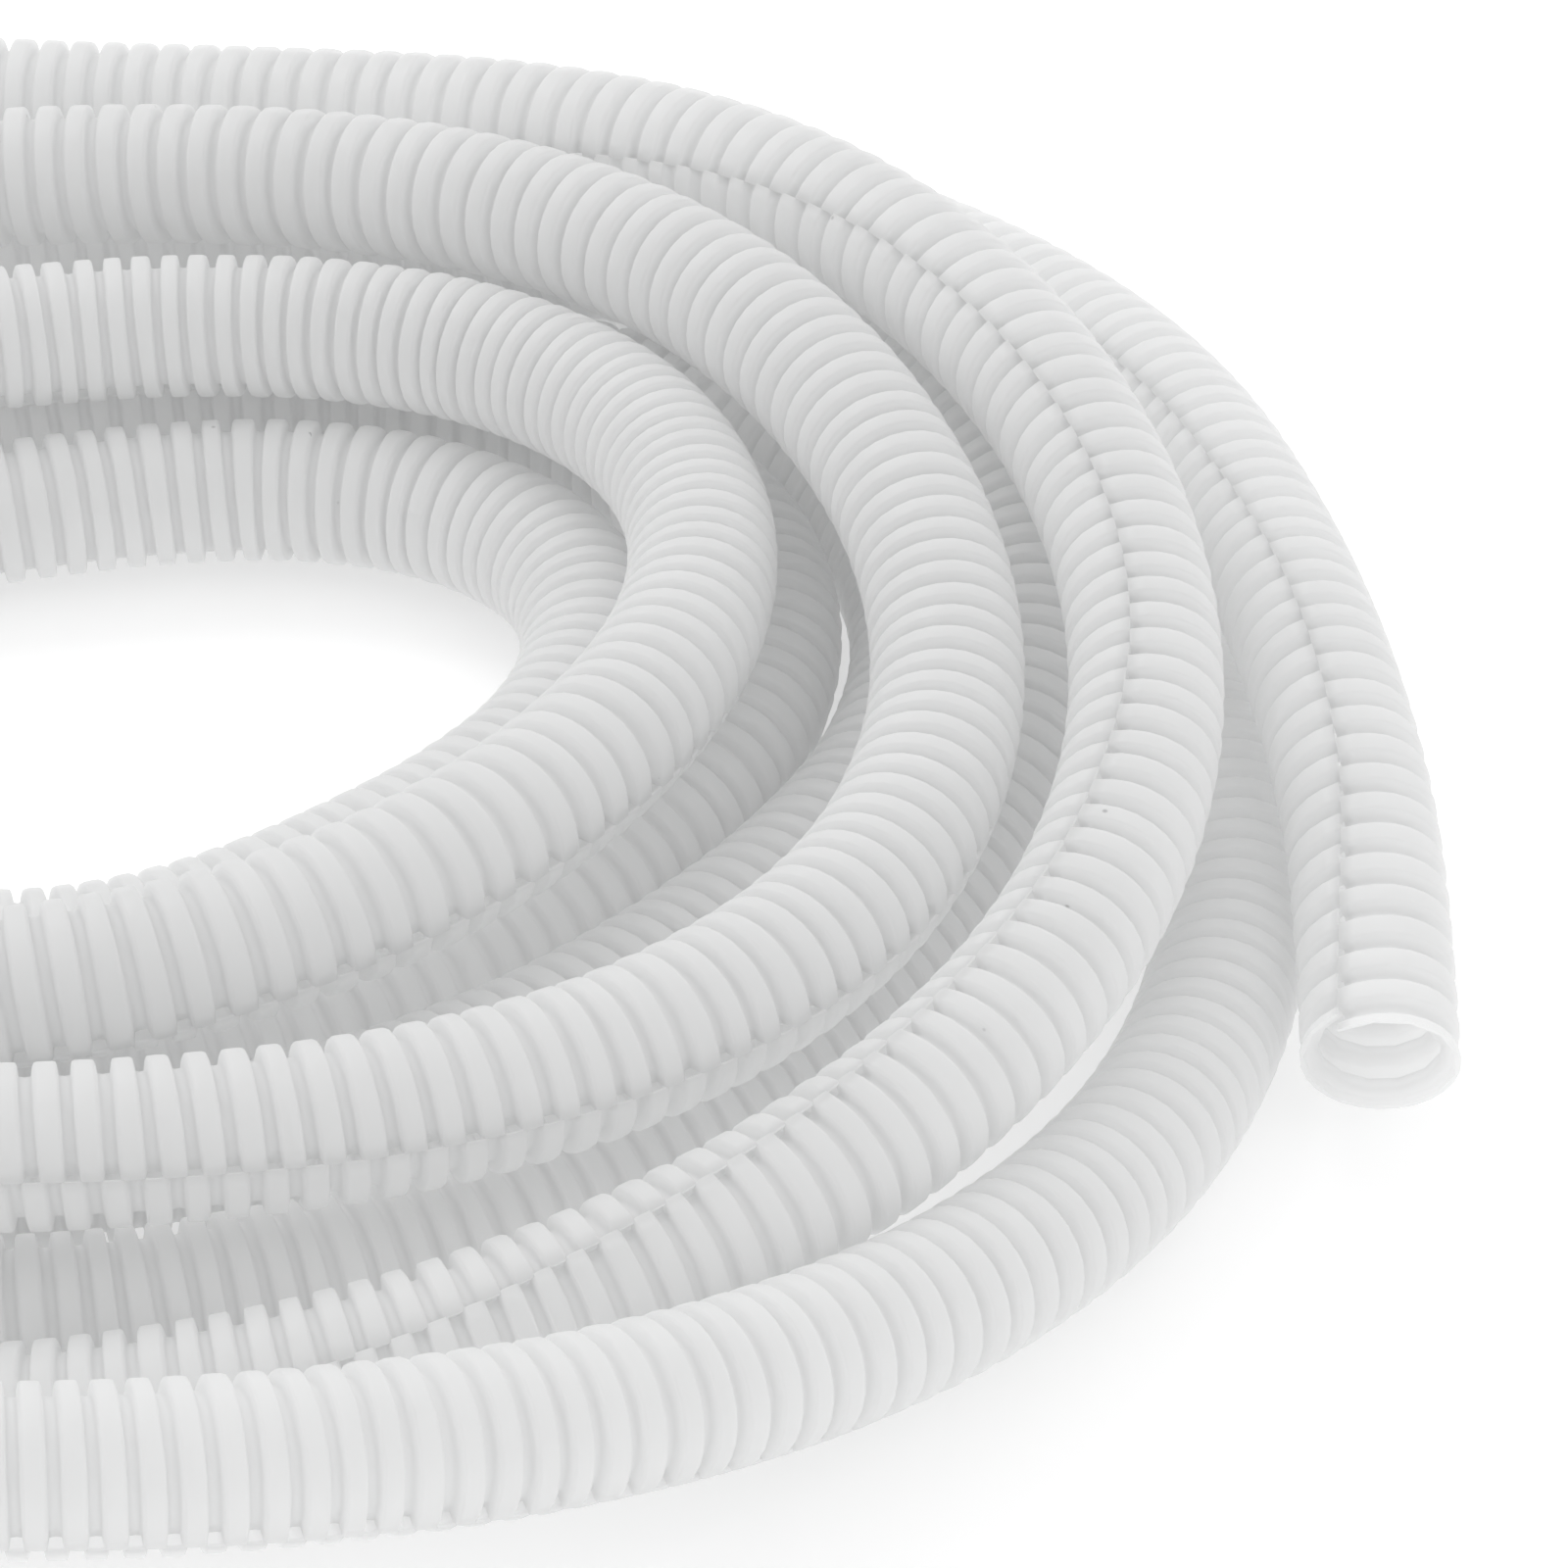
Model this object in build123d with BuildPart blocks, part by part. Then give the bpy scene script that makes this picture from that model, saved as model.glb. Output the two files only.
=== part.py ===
"""Corrugated plastic hose, 13 mm outside, lying as a loose untied coil with both cut ends free.

The hose is one continuous extrusion. It is modelled as the two loose ends and the eight turns
between them, which meet face to face. The route starts at the right-hand end, goes round the coil
anticlockwise as seen from above, and leaves it at the left-hand end. Millimetres, +Z up, with the
origin on the floor under the middle of the coil's footprint.
"""

from build123d import *

import os
from math import cos, pi, radians, sin, tan

OUTER_DIAMETER = 13.0  # over the crests of the ribs
BORE_DIAMETER = 10.0  # clear way inside the grooves
FLOOR = OUTER_DIAMETER / 2  # height of the centre line of a hose that lies on the floor

COIL_CENTRE = (5.1, -2.8)  # the turns' common centre; it is off the origin because the ends stand out
KEY_ANGLE = 60  # a turn is described by its radius and its height at each sixth of it
STEP_ANGLE = 15  # 24 route points to a turn
BACK = 90  # the coil's points start at the back, where the right-hand end runs into it
TURN_START = 180  # a turn is counted from the left-hand side
ARC_SHARE = 0.45  # share of the shorter run that an arc takes at each side of a corner

# The loose end on the right, from its cut face to the back of the coil, from the coil's centre.
RIGHT_END = [
    (117, -46.5, 9.5),
    (117.5, -29, 14.5),
    (115.5, -8, 18.5),
    (111.5, 17, 18.5),
    (105, 43.5, 16.5),
    (93.5, 68, 13),
    (76, 89, 10),
    (52.5, 105, 8),
    (26, 115, 7),
]

# The loose end on the left, from where it leaves the last turn to its cut face.
LEFT_END = [
    (-115, 30, 26.5),
    (-123, 5, 21),
    (-127, -20, 13.5),
    (-127.5, -44, 7.5),
]

# The lead into the coil, at the back and at the back left, as (radius, height).
LEAD_IN = [(118, 6.5), (115.5, 10.5)]

# The turns in the order in which the hose makes them. Each has its six radii and its six heights,
# at the front left, front, front right, back right, back and back left.
TURNS = {
    "turn_1_front": ((103.5, 112.5, 113, 101.5, 104.5, 101.5), (7, 21.5, 7.5, 7, 7, 12)),
    "turn_2_upper": ((92, 75.5, 87, 76, 73, 78.5), (23.5, 22.5, 22.5, 30.5, 25, 22.5)),
    "turn_3_top_inner": ((58.5, 52, 57, 64.5, 50, 46), (20, 20, 23, 22.5, 21, 23)),
    "turn_4_innermost": ((38, 33.5, 38, 57.5, 40, 42.5), (16.5, 9.5, 9, 9, 8.5, 7)),
    "turn_5_floor": ((48, 47, 52.5, 74, 55, 57), (6.5, 7, 6.5, 9.5, 8.5, 7)),
    "turn_6_floor": ((62, 61, 67, 88, 69, 71), (6.5, 9, 7.5, 6.5, 7, 8)),
    "turn_7_middle": ((76, 76.5, 83, 95.5, 84, 85), (7, 6.5, 8, 19, 9, 6.5)),
    "turn_8_outer": ((90, 91, 104, 92, 88.5, 115), (9.5, 7, 21, 32.5, 23.5, 28.5)),
}


def between(keys, place):
    """Value at a place along evenly spaced keys, on the smooth curve through them (Catmull-Rom)."""
    first = min(int(place), len(keys) - 2)
    t = place - first
    a, b = keys[max(first - 1, 0)], keys[first]
    c, d = keys[first + 1], keys[min(first + 2, len(keys) - 1)]
    return b + 0.5 * t * (c - a + t * (2 * a - 5 * b + 4 * c - d + t * (3 * (b - c) + d - a)))


def coil_points():
    """The coil's route points, STEP_ANGLE apart, from the back to the end of the last turn."""
    keys = LEAD_IN + [key for turn in TURNS.values() for key in zip(*turn)]
    radii = [key[0] for key in keys]
    heights = [key[1] for key in keys]
    points = []
    for angle in range(0, (len(keys) - 1) * KEY_ANGLE + 1, STEP_ANGLE):
        radius = between(radii, angle / KEY_ANGLE)
        height = max(between(heights, angle / KEY_ANGLE), FLOOR)
        turned = radians(BACK + angle)
        points.append((radius * cos(turned), radius * sin(turned), height))
    return points


def arc_radii(points):
    """The radius of the arc at each corner of the route, as large as its two runs allow."""
    runs = [b - a for a, b in zip(points, points[1:])]
    return [
        ARC_SHARE * min(a.length, b.length) / tan(radians(a.get_angle(b) / 2))
        for a, b in zip(runs, runs[1:])
    ]


def tube(name, points, radii):
    """A plain hollow tube along straight runs joined by tangent arcs, written as one STEP."""
    with BuildPart() as piece:
        with BuildLine() as line:
            FilletPolyline(*points, radius=radii)
        path = line.wires()[0]
        with BuildSketch(Plane(path @ 0, z_dir=path % 0)):
            Circle(OUTER_DIAMETER / 2)
            Circle(BORE_DIAMETER / 2, mode=Mode.SUBTRACT)
        sweep(path=path)
    piece.part.label = name
    export_step(piece.part, f"parts/{name}.step")
    section = pi * (OUTER_DIAMETER**2 - BORE_DIAMETER**2) / 4
    ratio = piece.part.volume / (section * path.length)
    print(f"{name}: {path.length:.1f} mm long, volume over section times length {ratio:.4f}")
    return path.length


os.makedirs("parts", exist_ok=True)

from_centre = RIGHT_END + coil_points() + LEFT_END
route = [Vector(x + COIL_CENTRE[0], y + COIL_CENTRE[1], z) for x, y, z in from_centre]
radii = arc_radii(route)
print("arc radii, mm:", " ".join(f"{radius:.0f}" for radius in radii))

# Each piece starts and ends half-way along a run, so that neighbours share a flat round face.
per_turn = 360 // STEP_ANGLE
first_turn = len(RIGHT_END) + (TURN_START - BACK) // STEP_ANGLE
last_point = len(route) - len(LEFT_END) - 1
cuts = [first_turn + turn * per_turn for turn in range(len(TURNS))] + [last_point]
middles = [(route[cut] + route[cut + 1]) / 2 for cut in cuts]

length = tube("right_end", route[: first_turn + 1] + middles[:1], radii[:first_turn])
for turn, name in enumerate(TURNS):
    inside = slice(cuts[turn] + 1, cuts[turn + 1] + 1)
    ends = middles[turn : turn + 1], middles[turn + 1 : turn + 2]
    length += tube(name, ends[0] + route[inside] + ends[1], radii[cuts[turn] : cuts[turn + 1]])
length += tube("left_end", middles[-1:] + route[last_point + 1 :], radii[last_point:])
print(f"whole hose: {length:.0f} mm")
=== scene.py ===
from math import cos, pi, radians, sin

import bpy
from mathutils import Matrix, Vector


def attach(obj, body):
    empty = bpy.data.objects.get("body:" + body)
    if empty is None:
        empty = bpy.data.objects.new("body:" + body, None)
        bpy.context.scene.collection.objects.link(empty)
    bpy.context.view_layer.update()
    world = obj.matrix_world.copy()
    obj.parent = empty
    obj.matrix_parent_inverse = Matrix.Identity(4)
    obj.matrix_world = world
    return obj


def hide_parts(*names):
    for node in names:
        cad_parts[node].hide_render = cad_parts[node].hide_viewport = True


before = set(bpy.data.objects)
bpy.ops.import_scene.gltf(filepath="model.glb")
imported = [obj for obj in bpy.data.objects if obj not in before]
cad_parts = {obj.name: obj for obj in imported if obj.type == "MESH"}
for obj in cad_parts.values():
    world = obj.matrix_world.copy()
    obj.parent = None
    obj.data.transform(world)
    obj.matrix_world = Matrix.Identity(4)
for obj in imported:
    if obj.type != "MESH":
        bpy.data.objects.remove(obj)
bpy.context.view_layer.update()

# ---------------------------------------------------------------- the camera
# A long lens, in front of the coil and above it, takes in the coil's right half.
ELEVATION = radians(34)
DISTANCE = 0.6
LOOKED_AT = Vector((0.07405, 0.0049, 0))
WIDTH_TAKEN_IN = 0.1379  # at the point looked at

lens = bpy.data.cameras.new("camera")
lens.sensor_width = 36
lens.lens = lens.sensor_width * DISTANCE / WIDTH_TAKEN_IN
lens.clip_start = 0.01
camera = bpy.data.objects.new("camera", lens)
towards_camera = Vector((0, -cos(ELEVATION), sin(ELEVATION)))
camera.location = LOOKED_AT + towards_camera * DISTANCE
camera.rotation_euler = towards_camera.to_track_quat("Z", "Y").to_euler()
bpy.context.scene.collection.objects.link(camera)
bpy.context.scene.camera = camera

# ---------------------------------------------------------------- the hose: how it lies
# The hose is one extruded length of polyethylene with nothing fitted to it. From its cut end on
# the right it goes eight times round the coil, anticlockwise as seen from above, and its other
# cut end lies free on the left. It holds its shape by its own stiffness; nothing ties it.
MM = 0.001
COIL_CENTRE = (5.1, -2.8)  # millimetres, as are the radii, the heights and the loose ends
FLOOR = 6.5  # height of the middle of a hose that lies on the floor
BACK = 90  # degrees; angles are counted from the back, where the right-hand end runs in
TURNS_BEGIN = 90  # degrees past the back, on the left
KEY_ANGLE = 60  # from one radius and height to the next
ROLL_ANGLE = 30  # from one roll of the slit to the next
STEP_ANGLE = 15  # from one point of the route to the next

RIGHT_END = [
    (117, -46.5, 9.5),
    (117.5, -29, 14.5),
    (115.5, -8, 18.5),
    (111.5, 17, 18.5),
    (105, 43.5, 16.5),
    (93.5, 68, 13),
    (76, 89, 10),
    (52.5, 105, 8),
    (26, 115, 7),
]
LEFT_END = [
    (-115, 30, 26.5),
    (-123, 5, 21),
    (-127, -20, 13.5),
    (-127.5, -44, 7.5),
]
LEAD_IN = [(118, 6.5), (115.5, 10.5)]

# Each turn's radii, then its heights: front left, front, front right, back right, back, back left.
TURNS = {
    "turn_1_front": ((103.5, 112.5, 113, 101.5, 104.5, 101.5), (7, 21.5, 7.5, 7, 7, 12)),
    "turn_2_upper": ((92, 75.5, 87, 76, 73, 78.5), (23.5, 22.5, 22.5, 30.5, 25, 22.5)),
    "turn_3_top_inner": ((58.5, 52, 57, 64.5, 50, 46), (20, 20, 23, 22.5, 21, 23)),
    "turn_4_innermost": ((38, 33.5, 38, 57.5, 40, 42.5), (16.5, 9.5, 9, 9, 8.5, 7)),
    "turn_5_floor": ((48, 47, 52.5, 74, 55, 57), (6.5, 7, 6.5, 9.5, 8.5, 7)),
    "turn_6_floor": ((62, 61, 67, 88, 69, 71), (6.5, 9, 7.5, 6.5, 7, 8)),
    "turn_7_middle": ((76, 76.5, 83, 95.5, 84, 85), (7, 6.5, 8, 19, 9, 6.5)),
    "turn_8_outer": ((90, 91, 104, 92, 88.5, 115), (9.5, 7, 21, 32.5, 23.5, 28.5)),
}

# The ribs are squeezed together in some places and drawn apart in others, as any bent hose's are.
# The same six places a turn, as shares of the pitch that the ribs were made with.
RIGHT_SPREAD = [1.06, 1.06, 1.1, 1.16, 1.16, 1.08, 1.04, 1, 1]
LEAD_SPREAD = [1, 1]
SPREADS = {
    "turn_1_front": (0.92, 0.88, 0.97, 1, 1, 1),
    "turn_2_upper": (0.95, 0.95, 0.92, 1, 0.99, 0.99),
    "turn_3_top_inner": (0.98, 0.98, 1, 0.76, 0.86, 0.9),
    "turn_4_innermost": (0.92, 0.92, 0.92, 0.88, 0.91, 0.92),
    "turn_5_floor": (0.95, 0.95, 0.97, 0.88, 0.95, 0.95),
    "turn_6_floor": (0.93, 0.93, 0.9, 1, 0.95, 0.95),
    "turn_7_middle": (0.88, 0.87, 0.82, 0.9, 0.95, 0.95),
    "turn_8_outer": (0.9, 0.87, 0.97, 1.12, 0.97, 0.97),
}
LEFT_SPREAD = [1, 1, 1, 1]

# The hose has twisted a little as it was coiled, so that its slit wanders round it. How far the
# slit is rolled from the top towards the outside of the coil, at each twelfth of a turn.
RIGHT_ROLL = [-36, -18, -18, -32, -42, -40, -30, 0, 40]
LEAD_ROLL = [70, 90, 98, 101]
ROLLS = {
    "turn_1_front": (102, 106, 112, 138, 165, 180, 180, 170, 150, 125, 105, 92),
    "turn_2_upper": (84, 80, 78, 86, 98, 120, 140, 150, 150, 150, 150, 150),
    "turn_3_top_inner": (150, 145, 138, 108, 102, 120, 145, 175, 200, 205, 205, 202),
    "turn_4_innermost": (196, 190, 184, 180, 180, 180, 180, 180, 180, 180, 180, 180),
    "turn_5_floor": (180, 180, 180, 180, 180, 180, 180, 180, 180, 180, 180, 180),
    "turn_6_floor": (180, 180, 180, 180, 180, 180, 180, 180, 180, 180, 180, 180),
    "turn_7_middle": (181, 183, 185, 185, 180, 170, 160, 150, 140, 125, 110, 102),
    "turn_8_outer": (97, 92, 80, 38, -18, -14, -40, -75, -105, -125, -138, -140),
}
LEFT_ROLL = [-138, -130, -120, -110]


def between(keys, place):
    """Value at a place along evenly spaced keys, on the smooth curve through them."""
    first = min(int(place), len(keys) - 2)
    t = place - first
    a, b = keys[max(first - 1, 0)], keys[first]
    c, d = keys[first + 1], keys[min(first + 2, len(keys) - 1)]
    return b + 0.5 * t * (c - a + t * (2 * a - 5 * b + 4 * c - d + t * (3 * (b - c) + d - a)))


def placed(x, y, z):
    """A point in the frame, in metres, from millimetres from the middle of the turns."""
    return Vector((x + COIL_CENTRE[0], y + COIL_CENTRE[1], z)) * MM


lead_and_turns = LEAD_IN + [key for turn in TURNS.values() for key in zip(*turn)]
all_radii = [key[0] for key in lead_and_turns]
all_heights = [key[1] for key in lead_and_turns]
all_spreads = LEAD_SPREAD + [spread for turn in TURNS for spread in SPREADS[turn]]
all_rolls = LEAD_ROLL + [roll for turn in TURNS for roll in ROLLS[turn]]
route = [placed(*point) for point in RIGHT_END]
spreads = list(RIGHT_SPREAD)
rolls = list(RIGHT_ROLL)
for angle in range(0, (len(lead_and_turns) - 1) * KEY_ANGLE + 1, STEP_ANGLE):
    radius = between(all_radii, angle / KEY_ANGLE)
    height = max(between(all_heights, angle / KEY_ANGLE), FLOOR)
    turned = radians(BACK + angle)
    route.append(placed(radius * cos(turned), radius * sin(turned), height))
    spreads.append(between(all_spreads, angle / KEY_ANGLE))
    rolls.append(between(all_rolls, angle / ROLL_ANGLE))
route += [placed(*point) for point in LEFT_END]
spreads += LEFT_SPREAD
rolls = [radians(roll) for roll in rolls + LEFT_ROLL]

curve = bpy.data.curves.new("hose_line", "CURVE")
curve.dimensions = "3D"
curve.resolution_u = 8
spline = curve.splines.new("NURBS")
spline.points.add(len(route) - 1)
for point, position in zip(spline.points, route):
    point.co = (*position, 1)
spline.order_u = 3
spline.use_endpoint_u = True
drawn = bpy.data.objects.new("hose_line", curve)
bpy.context.scene.collection.objects.link(drawn)
bpy.context.view_layer.update()
followed = drawn.evaluated_get(bpy.context.evaluated_depsgraph_get())
line = [vertex.co.copy() for vertex in bpy.data.meshes.new_from_object(followed).vertices]
bpy.data.objects.remove(drawn)
lengths = [(b - a).length for a, b in zip(line, line[1:])]

# ---------------------------------------------------------------- the hose: where its ribs are
# The wall is blown into ribs against moving moulds, about three to a centimetre, each with a flat
# crest, steep sides and a narrower groove. The hose is cut through a rib at each end.
PITCH = 3.1 * MM

rib_marks = [line[0]]
rib_rolls = [rolls[0]]
rib_pitches = [PITCH * spreads[0]]
wanted = rib_pitches[0]
for index, (a, b, length) in enumerate(zip(line, line[1:], lengths)):
    gone = 0.0
    while length - gone > wanted:
        gone += wanted
        place = (index + gone / length) / (len(line) - 1) * (len(route) - 1)
        rib_marks.append(a.lerp(b, gone / length))
        rib_rolls.append(between(rolls, place))
        rib_pitches.append(PITCH * between(spreads, place))
        wanted = rib_pitches[-1]
    wanted -= length - gone

# ---------------------------------------------------------------- the hose: milky polyethylene
# Polyethylene without pigment: milky, letting light through without being clear, softly glossy,
# clouded a little along its length, with a few dark specks from the extruder.
plastic = bpy.data.materials.new("milky_polyethylene")
plastic.use_nodes = True
nodes, links = plastic.node_tree.nodes, plastic.node_tree.links
skin = nodes["Principled BSDF"]
skin.inputs["IOR"].default_value = 1.5
through = nodes.new("ShaderNodeBsdfTranslucent")
clear = nodes.new("ShaderNodeBsdfTransparent")
milk = nodes.new("ShaderNodeMixShader")
milk.inputs["Fac"].default_value = 0.6
haze = nodes.new("ShaderNodeMixShader")
haze.inputs["Fac"].default_value = 0.26
inside_plastic = nodes.new("ShaderNodeTexCoord")
cloud = nodes.new("ShaderNodeTexNoise")
cloud.inputs["Scale"].default_value = 90
cloud.inputs["Detail"].default_value = 3
tint = nodes.new("ShaderNodeValToRGB")
tint.color_ramp.elements[0].position = 0.3
tint.color_ramp.elements[0].color = (0.96, 0.962, 0.962, 1)
tint.color_ramp.elements[1].position = 0.7
tint.color_ramp.elements[1].color = (0.985, 0.987, 0.987, 1)
speck = nodes.new("ShaderNodeTexVoronoi")
speck.inputs["Scale"].default_value = 105
speck_edge = nodes.new("ShaderNodeMapRange")
speck_edge.inputs["From Min"].default_value = 0.012
speck_edge.inputs["From Max"].default_value = 0.03
speck_edge.inputs["To Min"].default_value = 0.45
speck_edge.inputs["To Max"].default_value = 1.0
specked = nodes.new("ShaderNodeMix")
specked.data_type = "RGBA"
specked.blend_type = "MULTIPLY"
specked.inputs["Factor"].default_value = 1
gloss = nodes.new("ShaderNodeMapRange")
gloss.inputs["To Min"].default_value = 0.26
gloss.inputs["To Max"].default_value = 0.42
grain = nodes.new("ShaderNodeTexNoise")
grain.inputs["Scale"].default_value = 700
grain.inputs["Detail"].default_value = 2
relief = nodes.new("ShaderNodeBump")
relief.inputs["Strength"].default_value = 0.1
relief.inputs["Distance"].default_value = 0.15 * MM
for texture in (cloud, speck, grain):
    links.new(inside_plastic.outputs["Object"], texture.inputs["Vector"])
links.new(cloud.outputs["Fac"], tint.inputs["Fac"])
links.new(speck.outputs["Distance"], speck_edge.inputs["Value"])
links.new(tint.outputs["Color"], specked.inputs["A"])
links.new(speck_edge.outputs["Result"], specked.inputs["B"])
links.new(cloud.outputs["Fac"], gloss.inputs["Value"])
links.new(gloss.outputs["Result"], skin.inputs["Roughness"])
links.new(grain.outputs["Fac"], relief.inputs["Height"])
for shader in (skin, through):
    links.new(relief.outputs["Normal"], shader.inputs["Normal"])
links.new(specked.outputs["Result"], skin.inputs["Base Color"])
links.new(specked.outputs["Result"], through.inputs["Color"])
links.new(skin.outputs["BSDF"], milk.inputs[1])
links.new(through.outputs["BSDF"], milk.inputs[2])
links.new(milk.outputs["Shader"], haze.inputs[1])
links.new(clear.outputs["BSDF"], haze.inputs[2])
links.new(haze.outputs["Shader"], nodes["Material Output"].inputs["Surface"])

# ---------------------------------------------------------------- the hose: its ribbed wall
# A thin wall of even thickness, slit from end to end so that it can be opened. The cut edges have
# sprung together half a rib out of step, so that crests meet grooves along the slit.
CREST_RADIUS = 6.5 * MM
GROOVE_RADIUS = 5.3 * MM
WALL = 0.3 * MM
SLIT_HALF_ANGLE = radians(0.12)
RIB_SHIFT = 0.5
UNEVENNESS = 0.12 * MM
NOISE_TO_FULL = 4.0  # the noise keeps to about a quarter either side of its middle
OUTSIDE_POINTS = 28
INSIDE_POINTS = 14
SECTION_POINTS = OUTSIDE_POINTS + INSIDE_POINTS
# From the middle of one crest to the next: where each ring is, as a share of the pitch, and how
# far its radius has gone from the crest's to the groove's.
RIB_RINGS = [
    (0, 0),
    (0.2, 0.015),
    (0.27, 0.06),
    (0.305, 0.28),
    (0.345, 0.95),
    (0.5, 1),
    (0.655, 0.95),
    (0.695, 0.28),
    (0.73, 0.06),
    (0.8, 0.015),
]

wall_tree = bpy.data.node_groups.new("ribbed_slit_wall", "GeometryNodeTree")
wall_tree.is_modifier = True
sockets = {}
for name, kind in (
    ("Geometry", "NodeSocketGeometry"),
    ("Crest Radius", "NodeSocketFloat"),
    ("Groove Radius", "NodeSocketFloat"),
    ("Wall", "NodeSocketFloat"),
    ("Slit Half Angle", "NodeSocketFloat"),
    ("Rib Shift", "NodeSocketFloat"),
    ("Unevenness", "NodeSocketFloat"),
    ("First Rib", "NodeSocketInt"),
    ("Material", "NodeSocketMaterial"),
):
    socket = wall_tree.interface.new_socket(name, in_out="INPUT", socket_type=kind)
    sockets[name] = socket.identifier
wall_tree.interface.new_socket("Geometry", in_out="OUTPUT", socket_type="NodeSocketGeometry")
given = wall_tree.nodes.new("NodeGroupInput").outputs


def feed(node, name, value):
    """Give one input of a node a link or a plain value."""
    if isinstance(value, bpy.types.NodeSocket):
        wall_tree.links.new(value, node.inputs[name])
    else:
        node.inputs[name].default_value = value


def added(kind, **inputs):
    """A new node with some of its inputs filled."""
    node = wall_tree.nodes.new(kind)
    for name, value in inputs.items():
        feed(node, name.replace("_", " "), value)
    return node


def calc(operation, *values):
    """A Math node's result."""
    node = wall_tree.nodes.new("ShaderNodeMath")
    node.operation = operation
    for index, value in enumerate(values):
        feed(node, index, value)
    return node.outputs[0]


def vector(operation, *values):
    """A Vector Math node's result."""
    node = wall_tree.nodes.new("ShaderNodeVectorMath")
    node.operation = operation
    for name, value in zip((0, "Scale" if operation == "SCALE" else 1), values):
        feed(node, name, value)
    return node.outputs["Vector"]


def kept(geometry, value, kind):
    """The geometry with a value kept on its points, and the kept value."""
    node = wall_tree.nodes.new("GeometryNodeCaptureAttribute")
    node.capture_items.new(kind, "kept")
    feed(node, 0, geometry)
    feed(node, 1, value)
    return node.outputs[0], node.outputs[1]


def chosen(index, values):
    """One of a row of numbers, by its index."""
    node = wall_tree.nodes.new("GeometryNodeIndexSwitch")
    node.data_type = "FLOAT"
    for number in range(2, len(values)):
        node.index_switch_items.new()
    feed(node, "Index", index)
    for number, value in enumerate(values):
        node.inputs[number + 1].default_value = value
    return node.outputs[0]


def stored(name):
    """A number stored on the points of the line."""
    node = wall_tree.nodes.new("GeometryNodeInputNamedAttribute")
    node.data_type = "FLOAT"
    feed(node, "Name", name)
    return node.outputs["Attribute"]


# The line through the ribs' middles, as smooth as the hose, with a point for every ring.
middles = added("GeometryNodeMeshToCurve", Mesh=given["Geometry"])
smooth_line = added("GeometryNodeCurveSplineType", Curve=middles.outputs[0])
smooth_line.spline_type = "CATMULL_ROM"
fine_line = added("GeometryNodeSetSplineResolution", Resolution=len(RIB_RINGS))
feed(fine_line, 0, smooth_line.outputs[0])
rings = wall_tree.nodes.new("GeometryNodeResampleCurve")
rings.mode = "EVALUATED"
feed(rings, "Curve", fine_line.outputs[0])
path, centre = kept(rings.outputs[0], added("GeometryNodeInputPosition").outputs[0], "VECTOR")
path, heading = kept(path, added("GeometryNodeInputTangent").outputs[0], "VECTOR")
path, roll = kept(path, stored("roll"), "FLOAT")
path, pitch = kept(path, stored("pitch"), "FLOAT")
path, ring = kept(path, added("GeometryNodeInputIndex").outputs[0], "INT")

# The section: round the outside from one cut edge to the other, and back along the inside.
outline = added("GeometryNodeCurvePrimitiveCircle", Resolution=SECTION_POINTS, Radius=given["Crest Radius"])
profile, corner = kept(outline.outputs[0], added("GeometryNodeInputIndex").outputs[0], "INT")
body = added("GeometryNodeCurveToMesh", Curve=path, Profile_Curve=profile, Fill_Caps=True)
inside = calc("GREATER_THAN", corner, OUTSIDE_POINTS - 0.5)
share_inside = calc("DIVIDE", calc("SUBTRACT", SECTION_POINTS - 1.0, corner), INSIDE_POINTS - 1.0)
share_outside = calc("DIVIDE", corner, OUTSIDE_POINTS - 1.0)
share = calc(
    "ADD",
    calc("MULTIPLY", share_inside, inside),
    calc("MULTIPLY", share_outside, calc("SUBTRACT", 1.0, inside)),
)
open_arc = calc("SUBTRACT", 2 * pi, calc("MULTIPLY", given["Slit Half Angle"], 2.0))
turned = calc("ADD", roll, calc("MULTIPLY_ADD", share, open_arc, given["Slit Half Angle"]))

# The rib: each ring moves along the hose to its share of the pitch, and takes its radius.
ring_in_rib = calc("FLOORED_MODULO", ring, float(len(RIB_RINGS)))
even = [number / len(RIB_RINGS) for number in range(len(RIB_RINGS))]
shift = chosen(ring_in_rib, [place - start for (place, _), start in zip(RIB_RINGS, even)])
depth = chosen(ring_in_rib, [depth for _, depth in RIB_RINGS])
out_of_step = calc("MULTIPLY", calc("SUBTRACT", share, 0.5), given["Rib Shift"])
rib_depth = calc("SUBTRACT", given["Crest Radius"], given["Groove Radius"])
radius = calc("SUBTRACT", given["Crest Radius"], calc("MULTIPLY", depth, rib_depth))
radius = calc("SUBTRACT", radius, calc("MULTIPLY", inside, given["Wall"]))

# No two ribs lie quite alike: each leans a little and stands a little off its place.
rib = calc("ADD", calc("DIVIDE", ring, float(len(RIB_RINGS))), given["First Rib"])
uneven = wall_tree.nodes.new("ShaderNodeTexNoise")
uneven.noise_dimensions = "1D"
feed(uneven, "W", rib)
feed(uneven, "Scale", 0.45)
feed(uneven, "Detail", 1.0)
lean = vector("SUBTRACT", uneven.outputs["Color"], (0.5, 0.5, 0.5))
parts = wall_tree.nodes.new("ShaderNodeSeparateXYZ")
feed(parts, 0, lean)
sideways = calc("SINE", turned)
upright = calc("COSINE", turned)
leaning = calc(
    "ADD",
    calc("ADD", calc("MULTIPLY", parts.outputs[0], sideways), calc("MULTIPLY", parts.outputs[1], upright)),
    parts.outputs[2],
)
along = calc("MULTIPLY", calc("ADD", shift, out_of_step), pitch)
along = calc("ADD", along, calc("MULTIPLY", calc("MULTIPLY", leaning, NOISE_TO_FULL), given["Unevenness"]))

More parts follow.
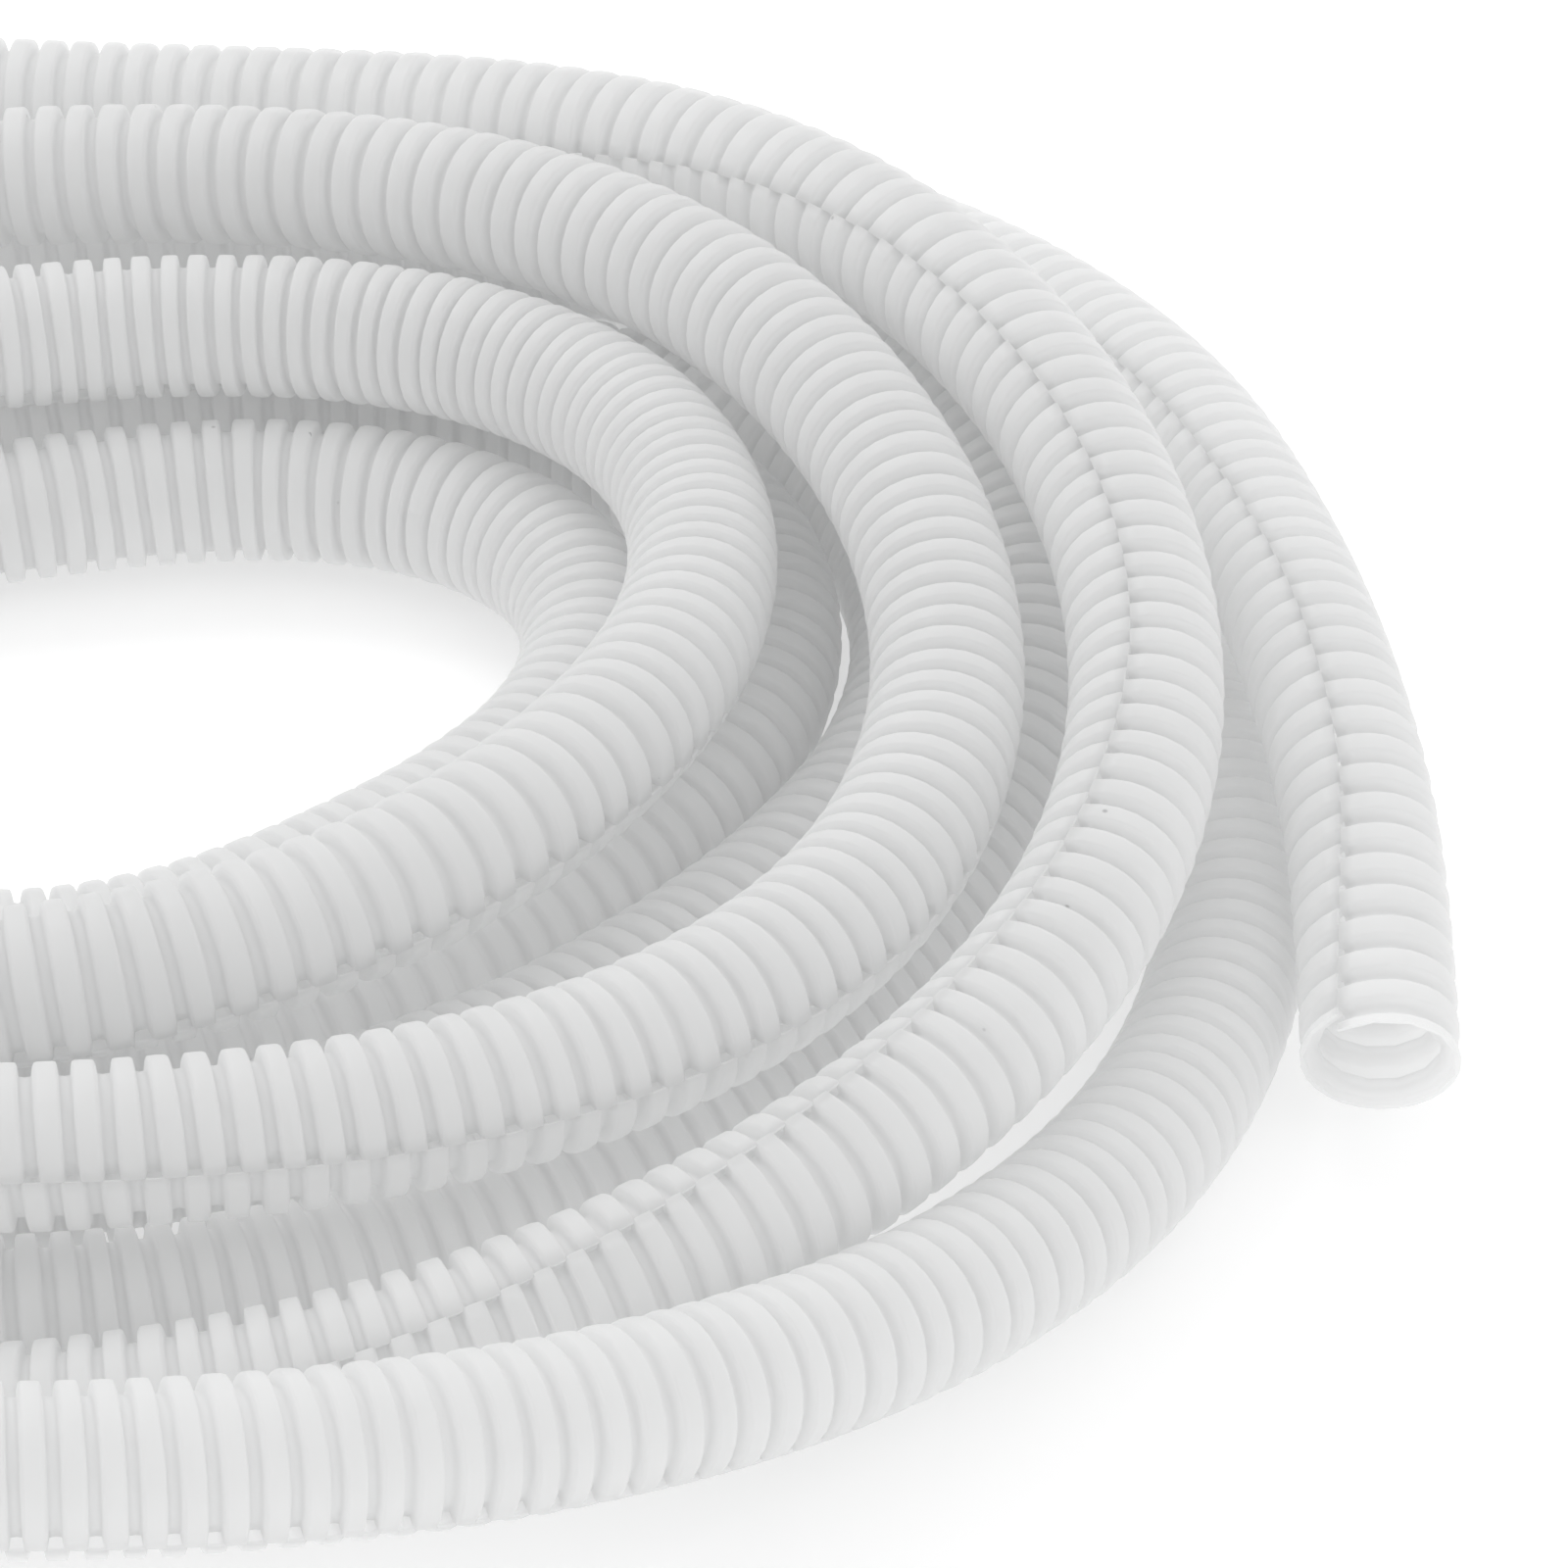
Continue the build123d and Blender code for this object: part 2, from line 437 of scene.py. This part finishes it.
outwards = vector("NORMALIZE", vector("CROSS_PRODUCT", heading, (0, 0, 1)))
upwards = vector("NORMALIZE", vector("CROSS_PRODUCT", outwards, heading))
arm = vector(
    "ADD",
    vector("SCALE", outwards, calc("MULTIPLY", radius, sideways)),
    vector("SCALE", upwards, calc("MULTIPLY", radius, upright)),
)
arm = vector("ADD", arm, vector("SCALE", heading, along))
shaped = added("GeometryNodeSetPosition", Geometry=body.outputs[0], Position=vector("ADD", centre, arm))
smooth = added("GeometryNodeSetShadeSmooth", Geometry=shaped.outputs[0])
real = added("GeometryNodeRealizeInstances", Geometry=smooth.outputs[0])
finished = added("GeometryNodeSetMaterial", Geometry=real.outputs[0], Material=given["Material"])
wall_tree.links.new(finished.outputs[0], wall_tree.nodes.new("NodeGroupOutput").inputs[0])

# ---------------------------------------------------------------- the hose: its ten lengths
# The one hose is drawn as its two loose ends and its eight turns, each from the middle of a crest
# to the middle of another, where the next begins.
first_turn = len(RIGHT_END) + TURNS_BEGIN // STEP_ANGLE
joins = [first_turn + turn * 360 // STEP_ANGLE for turn in range(len(TURNS))]
joins.append(len(route) - len(LEFT_END) - 1)
ribs_at_joins = [0]
for join in joins:
    middle = (route[join] + route[join + 1]) / 2
    nearest = min(range(len(rib_marks)), key=lambda mark: (rib_marks[mark] - middle).length)
    ribs_at_joins.append(nearest)
ribs_at_joins.append(len(rib_marks) - 1)

lengths_of_hose = ["right_end", *TURNS, "left_end"]
for name, first, last in zip(lengths_of_hose, ribs_at_joins, ribs_at_joins[1:]):
    marks = rib_marks[first : last + 1]
    mesh = bpy.data.meshes.new("hose_" + name)
    mesh.from_pydata(marks, [(i, i + 1) for i in range(len(marks) - 1)], [])
    for attribute, values in (("roll", rib_rolls), ("pitch", rib_pitches)):
        layer = mesh.attributes.new(attribute, "FLOAT", "POINT")
        layer.data.foreach_set("value", values[first : last + 1])
    piece = bpy.data.objects.new("hose_" + name, mesh)
    bpy.context.scene.collection.objects.link(piece)
    wall = piece.modifiers.new("wall", "NODES")
    wall.node_group = wall_tree
    for socket, value in (
        ("Crest Radius", CREST_RADIUS),
        ("Groove Radius", GROOVE_RADIUS),
        ("Wall", WALL),
        ("Slit Half Angle", SLIT_HALF_ANGLE),
        ("Rib Shift", RIB_SHIFT),
        ("Unevenness", UNEVENNESS),
        ("First Rib", first),
        ("Material", plastic),
    ):
        wall[sockets[socket]] = value
    bpy.context.view_layer.update()
    evaluated = piece.evaluated_get(bpy.context.evaluated_depsgraph_get())
    made = bpy.data.meshes.new_from_object(evaluated)
    piece.modifiers.remove(wall)
    piece.data = made
    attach(piece, "root")
    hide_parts(name)

# ---------------------------------------------------------------- floor and light
# A white table, lit through from below as well as from above, in an even white surround, with one
# large soft lamp behind the coil and a smaller one in front of it.
HALF_TABLE = 3.0
table = bpy.data.meshes.new("table")
table_corners = [(x * HALF_TABLE, y * HALF_TABLE, 0) for x, y in ((-1, -1), (1, -1), (1, 1), (-1, 1))]
table.from_pydata(table_corners, [], [(0, 1, 2, 3)])
table_top = bpy.data.objects.new("table", table)
white = bpy.data.materials.new("white_table")
white.use_nodes = True
white_skin = white.node_tree.nodes["Principled BSDF"]
white_skin.inputs["Base Color"].default_value = (0.9, 0.9, 0.9, 1)
white_skin.inputs["Roughness"].default_value = 0.9
white_skin.inputs["Emission Color"].default_value = (1, 1, 1, 1)
on_table = white.node_tree.nodes.new("ShaderNodeTexCoord")
axes = white.node_tree.nodes.new("ShaderNodeSeparateXYZ")
glow = white.node_tree.nodes.new("ShaderNodeMapRange")
glow.inputs["From Min"].default_value = -0.2
glow.inputs["From Max"].default_value = 0.12
glow.inputs["To Min"].default_value = 0.28
glow.inputs["To Max"].default_value = 0.35
white.node_tree.links.new(on_table.outputs["Object"], axes.inputs[0])
white.node_tree.links.new(axes.outputs["Y"], glow.inputs["Value"])
white.node_tree.links.new(glow.outputs["Result"], white_skin.inputs["Emission Strength"])
table.materials.append(white)
bpy.context.scene.collection.objects.link(table_top)

surround = bpy.data.worlds.new("surround")
surround.use_nodes = True
sky = surround.node_tree.nodes["Background"]
sky.inputs["Color"].default_value = (1, 1, 1, 1)
way = surround.node_tree.nodes.new("ShaderNodeTexCoord")
ways = surround.node_tree.nodes.new("ShaderNodeSeparateXYZ")
brightness = surround.node_tree.nodes.new("ShaderNodeMapRange")
brightness.inputs["From Min"].default_value = -1
brightness.inputs["From Max"].default_value = 0.6
brightness.inputs["To Min"].default_value = 0.62
brightness.inputs["To Max"].default_value = 0.95
surround.node_tree.links.new(way.outputs["Generated"], ways.inputs[0])
surround.node_tree.links.new(ways.outputs["Y"], brightness.inputs["Value"])
surround.node_tree.links.new(brightness.outputs["Result"], sky.inputs["Strength"])
bpy.context.scene.world = surround
bpy.context.scene.view_settings.view_transform = "Standard"
bpy.context.scene.view_settings.gamma = 1.4

for name, position, size, power in (
    ("back_lamp", (-0.35, 0.5, 0.8), 0.5, 2.0),
    ("front_lamp", (0.5, -0.6, 0.8), 0.6, 0.5),
):
    lamp = bpy.data.lights.new(name, "AREA")
    lamp.size = size
    lamp.energy = power
    lamp_object = bpy.data.objects.new(name, lamp)
    lamp_object.location = position
    lamp_object.rotation_euler = Vector(position).to_track_quat("Z", "Y").to_euler()
    bpy.context.scene.collection.objects.link(lamp_object)
